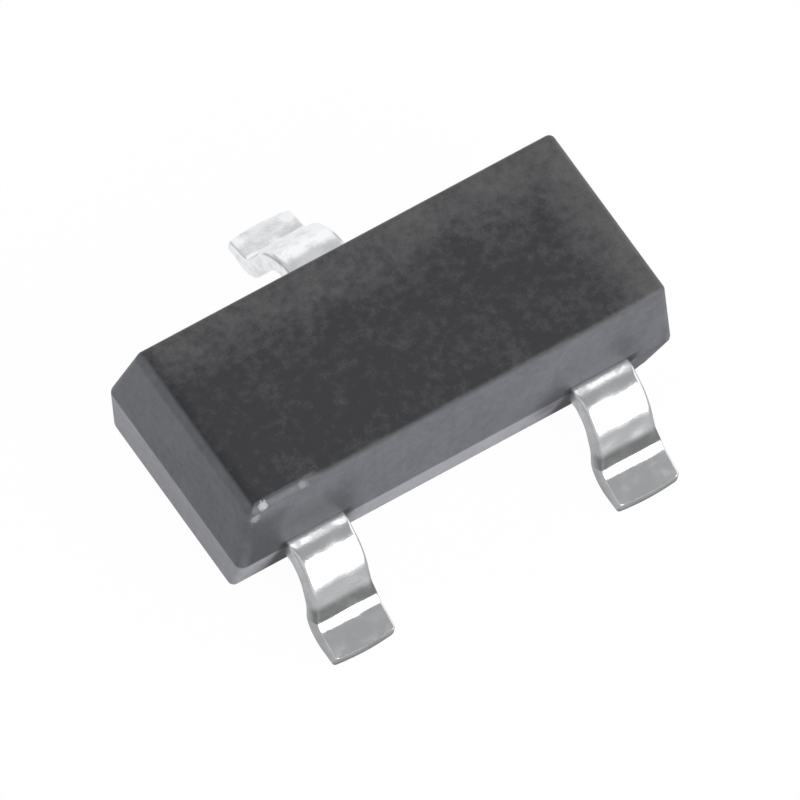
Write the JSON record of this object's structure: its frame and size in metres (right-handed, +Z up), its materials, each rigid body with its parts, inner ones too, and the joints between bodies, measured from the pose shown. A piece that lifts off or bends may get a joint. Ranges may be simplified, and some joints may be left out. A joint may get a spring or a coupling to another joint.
{
  "type": "sot-23 transistor",
  "caption": "Small surface-mount transistor: a drafted moulded plastic body on folded tin-plated leads, with the die, die pad and bond wires inside.",
  "frame": {"origin": "middle of the part's outline on the board, under the body", "axes": "+X along the body, -Y towards the side with two leads, +Z up from the board"},
  "size_m": [0.0028, 0.0024, 0.0009],
  "materials": {
    "mould_compound": "matte charcoal epoxy mould compound",
    "tin_plate": "bright tin plate over copper alloy",
    "silicon": "polished silicon",
    "silver_epoxy": "silver-filled epoxy",
    "gold_wire": "drawn gold"
  },
  "bodies": {
    "root": {"moulded_body": "mould_compound", "base_lead": "tin_plate", "emitter_lead": "tin_plate", "collector_lead": "tin_plate", "silicon_die": "silicon", "die_attach": "silver_epoxy", "base_wire": "gold_wire", "emitter_wire": "gold_wire"}
  },
  "joints": []
}
